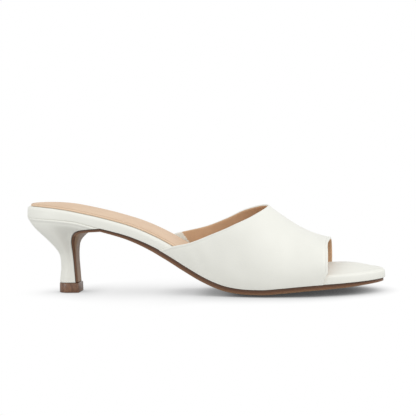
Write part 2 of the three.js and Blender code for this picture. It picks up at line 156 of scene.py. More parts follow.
# How finely the pieces are divided, how many rows of the band's round edges the lining covers, and how
# near two points merge, in millimetres.
SLAB_STEPS = 170
SLAB_UNDER_STEPS = 6
SLAB_TOP_STEPS = 18
SLAB_TOP_CROWDING = 1.2
ROLL_STEPS = 8
SOLE_STEPS = 230
ARCH_STEPS = 60
BREAST_STEPS = 40
SOLE_COLUMNS = 31
SOLE_SIDE = np.array([0.06, 0.2, 0.4, 0.6, 0.8, 0.94])
HEEL_DEPTH_STEPS = 56
HEEL_HEIGHT_STEPS = 110
HEEL_CROWDING = 0.6
HEEL_ACROSS_STEPS = 10
TIP_STEPS = 40
BAND_TURNS = 260
BAND_STEPS = 90
LINING_OVER_FRONT = 3
LINING_OVER_BACK = 2
MERGE = 0.002
SPECK = 0.001

# Camera: angles in degrees, lengths in millimetres.
CAMERA_AZIMUTH = 7
CAMERA_ELEVATION = 3.47
CAMERA_ROLL = -1.0
CAMERA_DISTANCE = 957
CAMERA_TARGET = (2.8, 0.135, 55.8)
CAMERA_SENSOR = 36
CAMERA_LENS = 124

# Studio: places in metres, powers in watts.
ROOM_LIGHT = 0.8
FLOOR_HALF = 6.0
FLOOR_THROWN = 0.62
# The floor's painted shadow: occlusion samples, how far it reaches, how soft and deep it is, and its stops
# along the shoe.
SHADOW_SAMPLES = 16
SHADOW_REACH = 0.1
SHADOW_SOFTNESS = 1.3
SHADOW_GAIN = 0.95
SHADOW_START = -0.13
SHADOW_END = 0.13
SHADOW_DEPTHS = [
    (0.146, 1), (0.257, 0.42), (0.363, 0.42), (0.46, 0.66), (0.531, 0.9), (0.611, 1), (0.867, 1), (1, 0.7),
]
SHADOW_REACHES = [
    (0, 0.3), (0.363, 0.72), (0.558, 0.4), (0.712, 0.34), (0.823, 0.28), (0.929, 0.19), (1, 0.14),
]
KEY_PLACE = (0.9, -0.6, 0.7)
KEY_AIM = (0.03, 0, 0.03)
KEY_SIZE = 0.9
KEY_POWER = 5
FILL_PLACE = (-0.3, -0.18, 0.06)
FILL_AIM = (-0.08, 0, 0.03)
FILL_SIZE = 0.12
FILL_POWER = 0.11

# Underside of the footbed: along is a share of the length, rise of the heel's rise, spring of the toe's.
PROFILE = {
    "along": (0, 0.059, 0.117, 0.167, 0.209, 0.25, 0.303, 0.356, 0.409, 0.462, 0.515, 0.568, 0.61,
              0.67, 0.72, 0.8, 0.884, 1),
    "rise": (1, 0.991, 0.961, 0.914, 0.869, 0.817, 0.737, 0.625, 0.481, 0.31, 0.155, 0.0485, 0.0105,
             0, 0, 0, 0, 0),
    "spring": (0, 0, 0, 0, 0, 0, 0, 0, 0, 0, 0, 0, 0, 0, 0.17, 0.51, 0.67, 0.87),
}
# Outline from above: 0 is the heel seat's half width and 1 the ball's.
OUTLINE = {
    "along": (0, 0.18, 0.3, 0.4, 0.5, 0.6, 0.68, 0.75, 0.8, 1),
    "outer": (0, 0, -0.09, -0.03, 0.25, 0.7, 1, 1.02, 1, 1),
    "inner": (0, -0.02, -0.17, -0.33, -0.3, 0.05, 0.62, 0.97, 1, 1),
}
HEEL_ROUND = {"start": 0.14, "power": 2.15}
TOE_ROUND = {"start": 0.77, "outer": 1.8, "inner": 2.25}
# Footbed: shares of its thickness and crown.
CUSHION = {
    "along": (0, 0.12, 0.3, 0.6, 0.85, 1),
    "thick": (1.08, 1.03, 0.91, 0.88, 0.91, 0.9),
    "crown": (1, 1, 1, 1.3, 2.6, 3.6),
}
# Outsole: shares of its edge and crown.
SOLE = {
    "along": (0.2, 0.3, 0.4, 0.5, 0.6, 0.7, 0.84, 0.92, 1),
    "edge": (0.56, 0.78, 1.05, 1.02, 1, 1, 1, 0.85, 0.65),
    "crown": (0.15, 0.4, 0.65, 0.9, 1, 1, 0.8, 0.6, 0.2),
}
# Ridge of the instep: share of its height at the band's peak.
RIDGE = {
    "along": (0.35, 0.434, 0.51, 0.592, 0.634, 0.6775, 0.7025, 0.73, 0.764, 0.787, 0.81, 0.837, 0.86),
    "height": (1.72, 1.61, 1.47, 1.246, 1.12, 1, 0.918, 0.836, 0.742, 0.688, 0.645, 0.612, 0.592),
}
# Edges of the band: turn is a share of the quarter turn from the sole to the ridge, the rest are along.
BAND = {
    "turn": (0, 0.08, 0.15, 0.25, 0.37, 0.52, 0.67, 0.83, 1),
    "outer_back": (0.389, 0.432, 0.4725, 0.522, 0.575, 0.625, 0.657, 0.6748, 0.68),
    "inner_back": (0.362, 0.402, 0.441, 0.4971, 0.551, 0.6005, 0.6396, 0.668, 0.68),
    "outer_front": (0.836, 0.8476, 0.8484, 0.8488, 0.8488, 0.848, 0.8466, 0.8466, 0.8485),
    "inner_front": (0.8425, 0.8488, 0.8497, 0.85, 0.85, 0.85, 0.85, 0.8496, 0.8485),
}
# Creases of the band: ends as (x, height over the sole), width and depth in millimetres.
CREASES = [
    ((113, 20), (124, 6), 5, 0.3),
    ((124, 30), (133, 9), 6, 0.22),
    ((136, 38), (146, 14), 7, 0.16),
    ((150, 12), (172, 6), 5, 0.14),
    ((190, 26), (193, 10), 4, 0.12),
]
# Lift of the line between the rim and the heel's cover, in millimetres.
LAP = {
    "along": (0.05, 0.11, 0.155, 0.19, 0.215),
    "up": (0, 0.5, 1, 0.5, 0),
}
# Fold of the heel's cover under the rim: size, distance below the rim and width, in millimetres.
COVER_FOLD = (0.42, 1.1, 0.75)
COVER_GROOVE = (0.16, 2.7, 0.6)
COVER_TUCK = (0.16, 0, 0.35)
# Heel block: spreads from the neck (0) to the seat (1).
HEEL = {
    "height": (0, 0.12, 0.23, 0.32, 0.435, 0.51, 0.576, 0.65, 0.745, 0.83, 0.88, 0.93, 1, 1.1),
    "back": (0.06, 0.05, 0.023, 0, 0.01, 0.05, 0.146, 0.297, 0.516, 0.73, 0.83, 0.913, 1, 1.05),
    "side": (0.02, 0.02, 0.01, 0.01, 0.04, 0.1, 0.19, 0.34, 0.56, 0.77, 0.87, 0.94, 1, 1),
    "breast": (0.02, 0.01, 0, 0, 0, 0.02, 0.05, 0.11, 0.24, 0.46, 0.68, 0.9, 1, 1),
}


def mix(start, end, share):
    """A share of the way from start to end."""
    return start + (end - start) * share


def ease(share):
    """Smooth step: level at 0 and at 1."""
    share = np.clip(share, 0, 1)
    return share * share * (3 - 2 * share)


def hump(distance, size, at, width):
    """Bell curve: size at one distance, falling off over a width on both sides of it."""
    return size * np.exp(-(((distance - at) / width) ** 2))


def smooth(table, column, at, by="along"):
    """Value of a column on a smooth curve through a table's rows: a cubic between each two rows, whose
    slope at a row is the weighted mean of its neighbours' slopes, and level where they turn."""
    place = np.array(table[by], float)
    value = np.array(table[column], float)
    at = np.clip(at, place[0], place[-1])
    width = np.diff(place)
    step = np.diff(value) / width
    mean = (step[:-1] * width[1:] + step[1:] * width[:-1]) / (width[1:] + width[:-1])
    inner = np.where(step[:-1] * step[1:] > 0, mean, 0)
    slope = np.concatenate(([step[0]], inner, [step[-1]]))
    row = np.clip(np.searchsorted(place, at, side="right") - 1, 0, len(place) - 2)
    part = (at - place[row]) / width[row]
    early = slope[row] * width[row] * part * (1 - part) ** 2
    late = slope[row + 1] * width[row] * part**2 * (1 - part)
    return value[row] + (value[row + 1] - value[row]) * ease(part) + early - late


def seat_line(x):
    """Height of the footbed's underside on the centre line: the ball's height, plus shares of the heel's
    rise and of the toe's spring."""
    along = x / SHOE_LENGTH
    rise = HEEL_RISE * smooth(PROFILE, "rise", along)
    return BALL_SEAT + rise + TOE_SPRING * smooth(PROFILE, "spring", along)


def seat_tilt(x):
    """Slope angle of the seat line, over a millimetre."""
    before = np.clip(x - 0.5, 0, SHOE_LENGTH)
    after = np.clip(x + 0.5, 0, SHOE_LENGTH)
    return np.arctan2(seat_line(after) - seat_line(before), after - before)


def on_last(x, y, up):
    """Points of the last: x along the seat line, y across it, and up square to it."""
    tilt = seat_tilt(x)
    return np.stack([x - up * np.sin(tilt), y + 0 * x, seat_line(x) + up * np.cos(tilt)], -1)


def outline_half(x, side):
    """Half width of the footbed on one side: the table's width, closed by a superellipse at each end."""
    along = np.clip(x / SHOE_LENGTH, 0, 1)
    to_heel = np.clip(1 - along / HEEL_ROUND["start"], 0, 1)
    to_toe = np.clip((along - TOE_ROUND["start"]) / (1 - TOE_ROUND["start"]), 0, 1)
    heel_end = (1 - to_heel ** HEEL_ROUND["power"]) ** (1 / HEEL_ROUND["power"])
    toe_end = (1 - to_toe ** TOE_ROUND[side]) ** (1 / TOE_ROUND[side])
    return mix(SEAT_HALF, BALL_HALF, smooth(OUTLINE, side, along)) * heel_end * toe_end


def fullness(x):
    """Share of its full crown that a cushion has at x: none where the outline closes."""
    return np.minimum(outline_half(x, "outer"), outline_half(x, "inner")) / BALL_HALF


def cushion_top(x, inward):
    """Height of the footbed's top over its underside: the rim, plus a crown that rises as a parabola from
    the rim (inward 0) to the centre line (inward 1)."""
    along = x / SHOE_LENGTH
    rim = FOOTBED_THICKNESS * smooth(CUSHION, "thick", along)
    crown = FOOTBED_CROWN * smooth(CUSHION, "crown", along) * fullness(x)
    return rim + crown * (1 - (1 - inward) ** 2)


def shares(count):
    """Even shares from 0 to 1, in count steps."""
    return np.linspace(0, 1, count + 1)


def rounded(count):
    """Shares close together at both ends."""
    return (1 - np.cos(shares(count) * np.pi)) / 2


def started(count):
    """Shares close together at the start."""
    return 1 - np.cos(shares(count) * np.pi / 2)


def ended(count):
    """Shares close together at the end."""
    return 1 - started(count)[::-1]


def grid_faces(rows, columns, round_columns=False):
    """Quads of a grid of points, row by row, whose rows may each close into a ring."""
    row = np.arange(rows - 1)[:, None]
    column = np.arange(columns if round_columns else columns - 1)[None, :]
    next_column = (column + 1) % columns
    corners = [row * columns + column, (row + 1) * columns + column,
               (row + 1) * columns + next_column, row * columns + next_column]
    return np.stack([c + 0 * row + 0 * column for c in corners], -1).reshape(-1, 4)


def make_piece(name, points, faces, materials, slots=None, values=None):
    """A mesh piece from points on the last: moved to the frame, its doubles merged, its faces turned
    outwards and shaded smooth. slots gives each face its material, values named numbers per point."""
    mesh = bpy.data.meshes.new(name)
    placed = (points.reshape(-1, 3) + ORIGIN) * MM
    mesh.from_pydata(placed.tolist(), [], [list(map(int, face)) for face in faces])
    for material in materials:
        mesh.materials.append(material)
    if slots is not None:
        mesh.polygons.foreach_set("material_index", np.asarray(slots, np.int32))
    for label, value in (values or {}).items():
        attribute = mesh.attributes.new(label, "FLOAT", "POINT")
        attribute.data.foreach_set("value", np.asarray(value, np.float32).ravel())
    work = bmesh.new()
    work.from_mesh(mesh)
    bmesh.ops.remove_doubles(work, verts=work.verts, dist=MERGE * MM)
    bmesh.ops.dissolve_degenerate(work, edges=work.edges, dist=SPECK * MM)
    bmesh.ops.recalc_face_normals(work, faces=work.faces)
    work.to_mesh(mesh)
    work.free()
    mesh.polygons.foreach_set("use_smooth", np.ones(len(mesh.polygons), bool))
    mesh.update()
    piece = bpy.data.objects.new(name, mesh)
    bpy.context.collection.objects.link(piece)
    return piece


def set_stops(ramp, stops):
    """Puts colour stops, each a place and a colour, on a new ramp."""
    while len(ramp.elements) < len(stops):
        ramp.elements.new(0.5)
    for element, (at, colour) in zip(ramp.elements, stops):
        element.position = at
        element.color = (*colour, 1)


class Finish:
    """A procedural material: a Principled shader and short helpers for the nodes behind it."""

    def __init__(self, name, **inputs):
        """A new material whose shader has the given inputs, their spaces written as underscores."""
        self.material = bpy.data.materials.new(name)
        self.material.use_nodes = True
        self.tree = self.material.node_tree
        self.shader = self.tree.nodes["Principled BSDF"]
        for socket, value in inputs.items():
            self.shader.inputs[socket.replace("_", " ")].default_value = value
        self.place = self.node("ShaderNodeTexCoord").outputs["Object"]

    def node(self, kind, **settings):
        """A new node with its inputs and properties set by name."""
        node = self.tree.nodes.new(kind)
        for key, value in settings.items():
            if key in node.inputs:
                node.inputs[key].default_value = value
            else:
                setattr(node, key, value)
        return node

    def link(self, source, target):
        """Leads an output to an input."""
        self.tree.links.new(source, target)

    def stretched(self, scale):
        """Object coordinates in millimetres, scaled along each axis."""
        mapping = self.node("ShaderNodeMapping")
        mapping.inputs["Scale"].default_value = [s / MM for s in scale]
        self.link(self.place, mapping.inputs["Vector"])
        return mapping.outputs["Vector"]

    def noise(self, size, detail=3, roughness=0.5, stretch=(1, 1, 1)):
        """Noise whose lumps are about size millimetres across."""
        node = self.node("ShaderNodeTexNoise", Detail=detail, Roughness=roughness, Scale=1.0)
        self.link(self.stretched([s / size for s in stretch]), node.inputs["Vector"])
        return node.outputs["Fac"]

    def cells(self, size):
        """Rounded cells about size millimetres across."""
        node = self.node("ShaderNodeTexVoronoi", feature="SMOOTH_F1", Scale=1.0)
        self.link(self.stretched([1 / size] * 3), node.inputs["Vector"])
        return node.outputs["Distance"]

    def attribute(self, name):
        """A mesh's own numbers, by name."""
        return self.node("ShaderNodeAttribute", attribute_name=name).outputs["Fac"]

    def ramp(self, source, stops):
        """A value through colour stops."""
        node = self.node("ShaderNodeValToRGB")
        self.link(source, node.inputs["Fac"])
        set_stops(node.color_ramp, stops)
        return node.outputs["Color"]

    def spread(self, source, low, high):
        """A value from 0 to 1 set between low and high."""
        node = self.node("ShaderNodeMapRange")
        self.link(source, node.inputs["Value"])
        node.inputs["To Min"].default_value = low
        node.inputs["To Max"].default_value = high
        return node.outputs["Result"]

    def blend(self, share, first, second):
        """Two colours mixed by a value."""
        node = self.node("ShaderNodeMix", data_type="RGBA")
        self.link(share, node.inputs["Factor"])
        for socket, source in ((node.inputs[6], first), (node.inputs[7], second)):
            if isinstance(source, bpy.types.NodeSocket):
                self.link(source, socket)
            else:
                socket.default_value = (*source, 1)
        return node.outputs[2]

    def colour(self, source):
        """Colours the surface by an output."""
        self.link(source, self.shader.inputs["Base Color"])

    def roughness(self, source):
        """Roughens the surface by an output."""
        self.link(source, self.shader.inputs["Roughness"])

    def bumps(self, *layers):
        """Bump layers, each a height value and its depth in millimetres."""
        normal = None
        for height, depth in layers:
            node = self.node("ShaderNodeBump", Strength=1.0, Distance=depth * MM)
            self.link(height, node.inputs["Height"])
            if normal is not None:
                self.link(normal, node.inputs["Normal"])
            normal = node.outputs["Normal"]
        self.link(normal, self.shader.inputs["Normal"])


def white_faux_leather():
    """White coated fabric: a fine soft pebble over a faint unevenness, with a satin sheen."""
    finish = Finish("white_faux_leather", Specular_IOR_Level=0.45, Coat_Weight=0.06, Coat_Roughness=0.35)
    cloud = finish.noise(22, detail=2)
    finish.colour(finish.ramp(cloud, [(0.3, (0.865, 0.865, 0.8)), (0.7, (0.895, 0.895, 0.83))]))
    finish.roughness(finish.spread(finish.noise(3, detail=4), 0.42, 0.56))
    finish.bumps((finish.noise(9, detail=2), 0.05), (finish.cells(0.75), 0.028), (finish.noise(0.35), 0.012))
    return finish.material


def tan_lining(name, deep, pale):
    """Tan lining: a matte coat with a fine grain and slightly uneven dye, between a deep and a pale tan."""
    finish = Finish(name, Specular_IOR_Level=0.3)
    cloud = finish.noise(14, detail=4, roughness=0.6)
    finish.colour(finish.ramp(cloud, [(0.3, deep), (0.7, pale)]))
    finish.roughness(finish.spread(finish.noise(2), 0.58, 0.72))
    finish.bumps((finish.cells(0.6), 0.03), (finish.noise(0.25), 0.015))
    return finish.material


def brown_sole():
    """Brown sole: a dark line along the top of its edge, its edge paint deepened by painted shade under the
    footbed's rim, a lighter bevel under it that is painted light, and a worn, faintly brushed underside."""
    finish = Finish("brown_sole", Specular_IOR_Level=0.5)
    rim = finish.attribute("rim")
    # Along the edge: darkest at its top, edge paint deepened by painted shade under the footbed's rim; the
    # lighter stops towards its foot are a painted lit band.
    edge = finish.ramp(rim, [
        (0.0, (0.075, 0.028, 0.012)), (0.2, (0.11, 0.045, 0.02)), (0.3, (0.2, 0.09, 0.04)),
        (0.48, (0.25, 0.125, 0.065)), (0.55, (0.4, 0.255, 0.15)),
    ])
    cloud = finish.noise(12, detail=5, roughness=0.6)
    finish.colour(finish.blend(finish.spread(cloud, 0, 0.35), edge, (0.2, 0.11, 0.065)))
    finish.roughness(finish.spread(finish.noise(2.5, detail=3, stretch=(0.15, 1, 1)), 0.3, 0.5))
    finish.bumps((finish.noise(1.2, detail=4), 0.03), (finish.noise(0.3), 0.012))
    return finish.material


def brown_tip():
    """Dark brown moulded top piece: glossy, with faint ripples and tiny pits."""
    finish = Finish("brown_tip", Specular_IOR_Level=0.55, Coat_Weight=0.25, Coat_Roughness=0.15)
    cloud = finish.noise(2.6, detail=3, roughness=0.55, stretch=(1, 1, 0.45))
    finish.colour(finish.ramp(cloud, [(0.35, (0.11, 0.05, 0.028)), (0.62, (0.25, 0.13, 0.072))]))
    finish.roughness(finish.spread(finish.noise(1.5), 0.22, 0.38))
    finish.bumps((finish.noise(0.5, detail=4), 0.02))
    return finish.material


def slab_rings(profile, steps):
    """Rings round the outline, one for each step of a section given as (kind, inward, height of x).
    An edge step lies a distance in from the outline, longer at the softer toe; an inner step a share of
    the way from the roll to the centre line, whose ends stop a heel's half width before the outline's."""
    x = rounded(steps) * SHOE_LENGTH
    loop_x = np.concatenate([x, x[-2:0:-1]])
    loop_y = np.concatenate([-outline_half(x, "outer"), outline_half(x[-2:0:-1], "inner")])
    tangent = np.stack([np.roll(loop_x, -1) - np.roll(loop_x, 1), np.roll(loop_y, -1) - np.roll(loop_y, 1)])
    tangent /= np.linalg.norm(tangent, axis=0)
    in_x, in_y = -tangent[1], tangent[0]
    middle = np.clip(loop_x, SEAT_HALF, SHOE_LENGTH - SEAT_HALF)
    centre = (outline_half(middle, "inner") - outline_half(middle, "outer")) / 2
    softened = 1 + TOE_SOFTNESS * ease((loop_x / SHOE_LENGTH - TOE_SOFT_FROM) / (1 - TOE_SOFT_FROM))
    rings = []
    for kind, inward, height in profile:
        distance = (inward if kind == "edge" else FOOTBED_ROLL) * softened
        px = loop_x + in_x * distance
        py = loop_y + in_y * distance
        if kind == "inner":
            px = mix(px, middle, inward)
            py = mix(py, centre, inward)
        rings.append(on_last(px, py, height(px)))
    return np.array(rings)


def slab_section(inset, low, high, roll, sharp):
    """Section of a slab: the underside from the centre line out, a small round of radius sharp, the side,
    its rolled top edge as a quarter circle, and the top in to the centre line."""
    turns = shares(ROLL_STEPS) * np.pi / 2
    inward = np.linspace(1, 0, SLAB_UNDER_STEPS + 1)[:-1]
    under = [("inner", s, lambda x, s=s: low(x, s)) for s in inward]
    tuck = [("edge", inset + sharp * (1 - np.sin(t)), lambda x, t=t: low(x, 0) + sharp * (1 - np.cos(t)))
            for t in turns[::2]]
    round_top = [("edge", inset + roll * (1 - np.cos(t)), lambda x, t=t: high(x, 0) - roll * (1 - np.sin(t)))
                 for t in turns]
    inward = shares(SLAB_TOP_STEPS)[1:] ** SLAB_TOP_CROWDING
    over = [("inner", s, lambda x, s=s: high(x, s)) for s in inward]
    return under + tuck + round_top + over


def lap_line(x):
    """Height over the seat line where the rim meets the heel's cover."""
    return smooth(LAP, "up", x / SHOE_LENGTH)


def make_footbed(material):
    """White wrapped insole with a rolled rim and a crowned top."""
    def low(x, _):
        """Underside of the cover: level across, lifted to the lap line behind."""
        return lap_line(x)

    section = slab_section(0, low, cushion_top, FOOTBED_ROLL, FOOTBED_SHARP)
    rings = slab_rings(section, SLAB_STEPS)
    return make_piece("footbed_cover", rings, grid_faces(*rings.shape[:2], round_columns=True), [material])


def make_sock(material):
    """Cushioned tan sock on the footbed, cut straight across under the band."""
    def low(x, inward):
        """Underside of the sock: a glue line over the footbed."""
        return cushion_top(x, inward) + CLEARANCE

    def high(x, inward):
        """Top of the sock: its thickness over its underside."""
        return low(x, inward) + SOCK_THICKNESS

    rings = slab_rings(slab_section(FOOTBED_ROLL, low, high, SOCK_ROLL, SOCK_SHARP), SLAB_STEPS)
    piece = make_piece("sock_lining", rings, grid_faces(*rings.shape[:2], round_columns=True), [material])
    work = bmesh.new()
    work.from_mesh(piece.data)
    cut = bmesh.ops.bisect_plane(
        work, geom=work.verts[:] + work.edges[:] + work.faces[:],
        plane_co=((SOCK_FRONT * SHOE_LENGTH + ORIGIN[0]) * MM, 0, 0), plane_no=(1, 0, 0), clear_outer=True,
    )
    rim = [g for g in cut["geom_cut"] if isinstance(g, bmesh.types.BMEdge)]
    bmesh.ops.holes_fill(work, edges=rim)
    bmesh.ops.recalc_face_normals(work, faces=work.faces)
    work.to_mesh(piece.data)
    work.free()
    return piece


def heel_back(z):
    """Back of the heel block at a height: from the neck's back out to the seat's."""
    return NECK_BACK * (1 - smooth(HEEL, "back", z / SEAT_HEIGHT, by="height"))


def heel_half(x, z):
    """Half width of the heel block's widest line: the neck's, spread to the seat's by the height below the
    seat line, and by the breast's own spread towards the front."""
    height = (z + SEAT_HEIGHT - seat_line(x)) / SEAT_HEIGHT
    forward = (x - heel_back(z)) / (BREAST_NECK - heel_back(z))
    to_breast = ease((forward - WIDEST_AT) / (1 - WIDEST_AT))
    side = smooth(HEEL, "side", height, by="height")
    breast = smooth(HEEL, "breast", height, by="height")
    return mix(NECK_HALF, SEAT_HALF - SEAT_INSET, mix(side, breast, to_breast))


def heel_side(x, z, side, front, grow=0.0):
    """Half width of the heel block at x and z: the footbed's own outline, its round squeezed to the
    section's, scaled to the block's width."""
    seat_round = HEEL_ROUND["start"] * SHOE_LENGTH
    back = heel_back(z) - grow
    spread = (heel_half(back, z) - NECK_HALF) / (SEAT_HALF - SEAT_INSET - NECK_HALF)
    rounding = heel_half(back, z) * mix(1, seat_round / SEAT_HALF, spread)
    reach = np.minimum(rounding, (front - back) * ROUND_SHARE)
    depth = np.maximum(x - back, 0)
    matched = np.where(depth < reach, depth / reach * seat_round, seat_round + depth - reach)
    return outline_half(matched, side) * (heel_half(back + depth, z) + grow) / SEAT_HALF


def arch_curve(share):
    """The sole's top face round the arch: a cubic curve from the wings' tips to the top of the breast, and
    its direction."""
    start = np.array([WING_REACH, seat_line(WING_REACH) - CLEARANCE])
    end = np.array([BREAST_NECK, ARCH_HEIGHT])
    early = start + [-ARCH_BACK, -ARCH_DIP]
    late = end + [-CLEARANCE, ARCH_UP]
    t = share[:, None]
    place = (1 - t) ** 3 * start + 3 * (1 - t) ** 2 * t * early + 3 * (1 - t) * t**2 * late + t**3 * end
    way = (1 - t) ** 2 * (early - start) + 2 * (1 - t) * t * (late - early) + t**2 * (end - late)
    return place, way / np.linalg.norm(way, axis=1, keepdims=True)


def breast_line(share):
    """The sole's top face down the heel's front: a straight line, and its direction."""
    start = np.array([BREAST_NECK, ARCH_HEIGHT])
    end = np.array([BREAST_FOOT, FLAP_FOOT])
    way = (end - start) / np.linalg.norm(end - start)
    return start + share[:, None] * (end - start), np.tile(way, (len(share), 1))


def sole_half(x, side):
    """Half width of the sole: a little inside the footbed, a margin outside it under the band, and closed
    just before the toe."""
    along = x / SHOE_LENGTH
    from_back = ease((along - BAND["outer_back"][0]) / SOLE_RAMP + 0.5)
    from_front = ease((BAND["outer_front"][0] - along) / SOLE_RAMP + 0.5)
    half = outline_half(x * SHOE_LENGTH / (SHOE_LENGTH - SOLE_TOE), side)
    return np.maximum(half + mix(-SOLE_INSET, SOLE_MARGIN, from_back * from_front), 0) * np.clip(half, 0, 1)


def sole_stations():
    """Stations of the sole from the toe to the waist, round the arch and down the breast: place and away
    in the side view, half widths, edge and crown."""
    x = mix(SHOE_LENGTH - SOLE_TOE, WING_REACH, started(SOLE_STEPS))
    tilt = seat_tilt(x)
    top = on_last(x, 0, -CLEARANCE)
    along = x / SHOE_LENGTH
    full = np.clip(fullness(x) * CROWN_GAIN, 0, 1)
    under = {
        "place": top[:, [0, 2]],
        "away": np.stack([np.sin(tilt), -np.cos(tilt)], -1),
        "outer": sole_half(x, "outer"),
        "inner": sole_half(x, "inner"),
        "edge": SOLE_EDGE * smooth(SOLE, "edge", along),
        "crown": SOLE_CROWN * smooth(SOLE, "crown", along) * full,
    }
    arch_share = shares(ARCH_STEPS)[1:]
    breast_share = shares(BREAST_STEPS)[1:]
    arch, arch_way = arch_curve(arch_share)
    breast, breast_way = breast_line(breast_share)
    place = np.concatenate([arch, breast])
    way = np.concatenate([arch_way, breast_way])
    narrowed = ease(np.concatenate([arch_share / NARROW_SHARE, np.ones(len(breast))]))
    thinned = ease(np.concatenate([arch_share, np.ones(len(breast))]))
    swell_share = np.concatenate([arch_share, 1 + SWELL_FALL * breast_share])
    swelling = np.clip((swell_share - SWELL_START) / (SWELL_END - SWELL_START), 0, 1)
    corner = np.sin(np.pi * swelling) ** 2
    width = heel_half(place[:, 0], place[:, 1]) - FLAP_INSET
    flap = {
        "place": place,
        "away": np.stack([-way[:, 1], way[:, 0]], -1),
        "outer": mix(under["outer"][-1], width, narrowed),
        "inner": mix(under["inner"][-1], width, narrowed),
        "edge": mix(under["edge"][-1], FLAP_THICKNESS - FLAP_CROWN, thinned),
        "crown": mix(under["crown"][-1], FLAP_CROWN, thinned) + ARCH_SWELL * corner,
    }
    return under, flap


def make_sole(material):
    """Thin sole: a flat top, a slanted edge rounded at its corners, and a crowned underside that is level
    in the middle. rim runs from 0 at the top of the edge to 0.5 at its foot, and is 1 underneath, but for
    the dark painted margin on the face of the flap."""
    under, flap = sole_stations()
    station = {key: np.concatenate([under[key], flap[key]]) for key in under}
    across = np.linspace(-1, 1, SOLE_COLUMNS)
    past = np.clip((np.abs(across) - LEVEL_SHARE) / (1 - LEVEL_SHARE), 0, 1)
    side = SOLE_SIDE
    bulge = SOLE_BULGE * np.sin(side * np.pi)
    outer, inner, edge, crown = (station[key][:, None] for key in ("outer", "inner", "edge", "crown"))
    bevel = np.minimum(SOLE_BEVEL, np.minimum(outer, inner))

    def widths(share, trim):
        """Places across, as shares of each side's half width less a trim."""
        return share * (np.where(share < 0, outer, inner) - trim)

    y = np.concatenate([
        widths(across[None, :], 0),
        inner - bevel * side + bulge * np.clip(inner, 0, 1),
        widths(across[None, ::-1], bevel),
        -(outer - bevel * side[::-1] + bulge * np.clip(outer, 0, 1)),
    ], 1)
    down = np.concatenate([
        0 * across[None, :] + 0 * edge,
        edge * side,
        edge + crown * (1 - past[None, ::-1] ** 2),
        edge * side[::-1],
    ], 1)
    rim = np.tile(np.concatenate([0 * across, side / 2, 0 * across + 1, side[::-1] / 2]), (len(outer), 1))
    from_edge = (1 - np.abs(across)) * np.minimum(outer, inner)
    painted = ease((PAINTED_MARGIN + PAINTED_BLUR - from_edge) / (2 * PAINTED_BLUR))
    painted[:len(under["outer"])] = 0
    face = slice(len(across) + len(side), 2 * len(across) + len(side))
    rim[:, face] = mix(rim[:, face], PAINTED_RIM, painted)
    place, away = station["place"], station["away"]
    points = np.stack([place[:, :1] + away[:, :1] * down, y, place[:, 1:] + away[:, 1:] * down], -1)
    rows, columns = points.shape[:2]
    faces = [*grid_faces(rows, columns, round_columns=True).tolist(),
             list(range(columns)), list(range((rows - 1) * columns, rows * columns))[::-1]]
    return make_piece("sole", points, faces, [material], values={"rim": rim})


def heel_grid(depth_steps, height_steps):
    """Side view of the heel block as a grid: the back curve, the seat line, the foot, and the top of the
    sole's flap in front, filled in between by adding opposite edges and taking off the corners."""
    _, flap = sole_stations()
    front = (flap["place"] - flap["away"] * CLEARANCE)[::-1]
    tip = np.array([[WING_REACH, seat_line(WING_REACH) - COVER_GAP]])
    front = np.concatenate([front, tip])
    front[0] = [BREAST_FOOT - CLEARANCE, FLAP_FOOT]
    length = np.concatenate([[0], np.cumsum(np.linalg.norm(np.diff(front, axis=0), axis=1))])
    t = shares(height_steps)
    t = mix(t, ended(height_steps), HEEL_CROWDING)
    c = started(depth_steps)
    right = np.stack([np.interp(t * length[-1], length, front[:, k]) for k in (0, 1)], -1)
    top_back = seat_line(0) - COVER_GAP
    left_z = mix(FLAP_FOOT, top_back, t)
    left = np.stack([heel_back(left_z), left_z], -1)
    bottom = mix(left[:1], right[:1], c[:, None])
    top_x = mix(left[-1, 0], WING_REACH, c)
    top = np.stack([top_x, seat_line(top_x) + lap_line(top_x) - COVER_GAP], -1)
    c, t = c[None, :, None], t[:, None, None]
    flat = (1 - c) * left[:, None] + c * right[:, None] + (1 - t) * bottom[None] + t * top[None]
    foot_corners = (1 - c) * left[0] + c * right[0]
    top_corners = (1 - c) * left[-1] + c * right[-1]
    return flat - (1 - t) * foot_corners - t * top_corners


def make_heel(material):
    """Covered heel block: both sides of the side view, bulged by a narrow ridge along its top where the
    cover is folded over, closed at the front, the foot and the seat."""
    flat = heel_grid(HEEL_DEPTH_STEPS, HEEL_HEIGHT_STEPS)
    x, z = flat[..., 0], flat[..., 1]
    below = seat_line(x) + lap_line(x) - COVER_GAP - z
    fold = hump(below, *COVER_FOLD) - hump(below, *COVER_GROOVE) - hump(below, *COVER_TUCK)
    front = WING_REACH + HEEL_PAST_WINGS
    swell = fold * np.clip(heel_side(x, z, "outer", front) / COVER_FADE, 0, 1)
    outer = np.stack([x, -(heel_side(x, z, "outer", front) + swell), z], -1)
    inner = np.stack([x, heel_side(x, z, "inner", front) + swell, z], -1)
    around = np.concatenate([outer[:, ::-1], inner[:, 1:]], 1)
    closing = [mix(around[:, -1], around[:, 0], share) for share in shares(HEEL_ACROSS_STEPS)[1:-1]]
    around = np.concatenate([around, np.stack(closing, 1)], 1)
    rows, columns = around.shape[:2]
    ring = np.arange(columns)
    foot = around[0].mean(0)
    seat_points, seat_faces = heel_seat(flat, around)
    points = np.concatenate([around.reshape(-1, 3), [foot], seat_points])
    foot_index = rows * columns
    faces = grid_faces(rows, columns, round_columns=True).tolist()
    faces += [[int(a), int(b), foot_index] for a, b in zip(ring, np.roll(ring, -1))]
    faces += (seat_faces + foot_index + 1).tolist()
    return make_piece("heel_cover", points, faces, [material])


